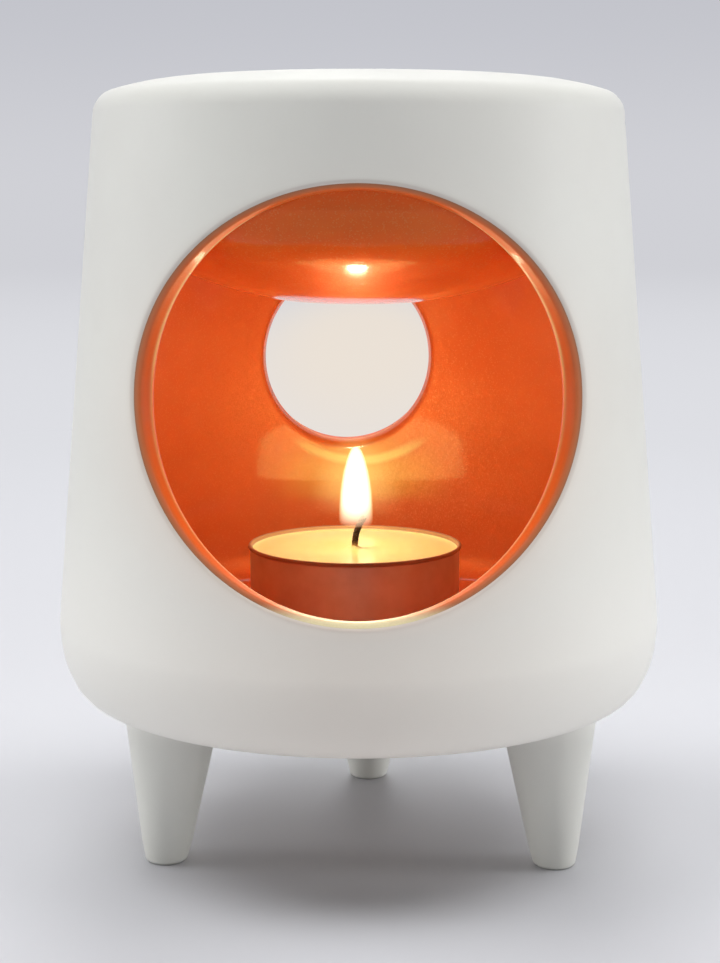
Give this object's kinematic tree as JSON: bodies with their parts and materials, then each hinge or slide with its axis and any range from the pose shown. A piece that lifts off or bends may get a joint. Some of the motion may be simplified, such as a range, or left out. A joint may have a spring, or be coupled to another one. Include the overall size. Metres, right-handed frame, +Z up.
{
  "type": "oil burner",
  "caption": "Tapering ceramic oil burner on short legs, with round openings through its wall, a hanging oil dish and a tealight in the chamber.",
  "frame": {"origin": "on the ground under the axis of the drum", "axes": "+Z up, -Y out of the large front opening, +X to the right seen from the front"},
  "size_m": [0.1062, 0.1062, 0.1342],
  "materials": {
    "white_ceramic": "satin warm white, fine-grained, soft rounded edges",
    "copper_glaze": "glossy metallic copper-orange glaze with a fine sparkle",
    "thin_aluminium": "plain bright pressed foil cup",
    "candle_wax": "creamy white paraffin wax, melted and smooth on top",
    "tinplate": "thin pressed plate",
    "charred_cotton": "braided cotton, charred above the wax"
  },
  "bodies": {
    "burner": {"body_wall": "white_ceramic", "copper_lining": "copper_glaze", "oil_dish": "copper_glaze", "leg_front_left": "white_ceramic", "leg_front_right": "white_ceramic", "leg_rear": "white_ceramic"},
    "tealight": {"tealight_cup": "thin_aluminium", "wax": "candle_wax", "wick_sustainer": "tinplate", "wick": "charred_cotton"}
  },
  "joints": [
    {"name": "tealight_lift", "type": "slide", "parent": "burner", "child": "tealight", "axis": [0, -0.8944, 0.4472], "range_m": [0, 0.11]}
  ]
}
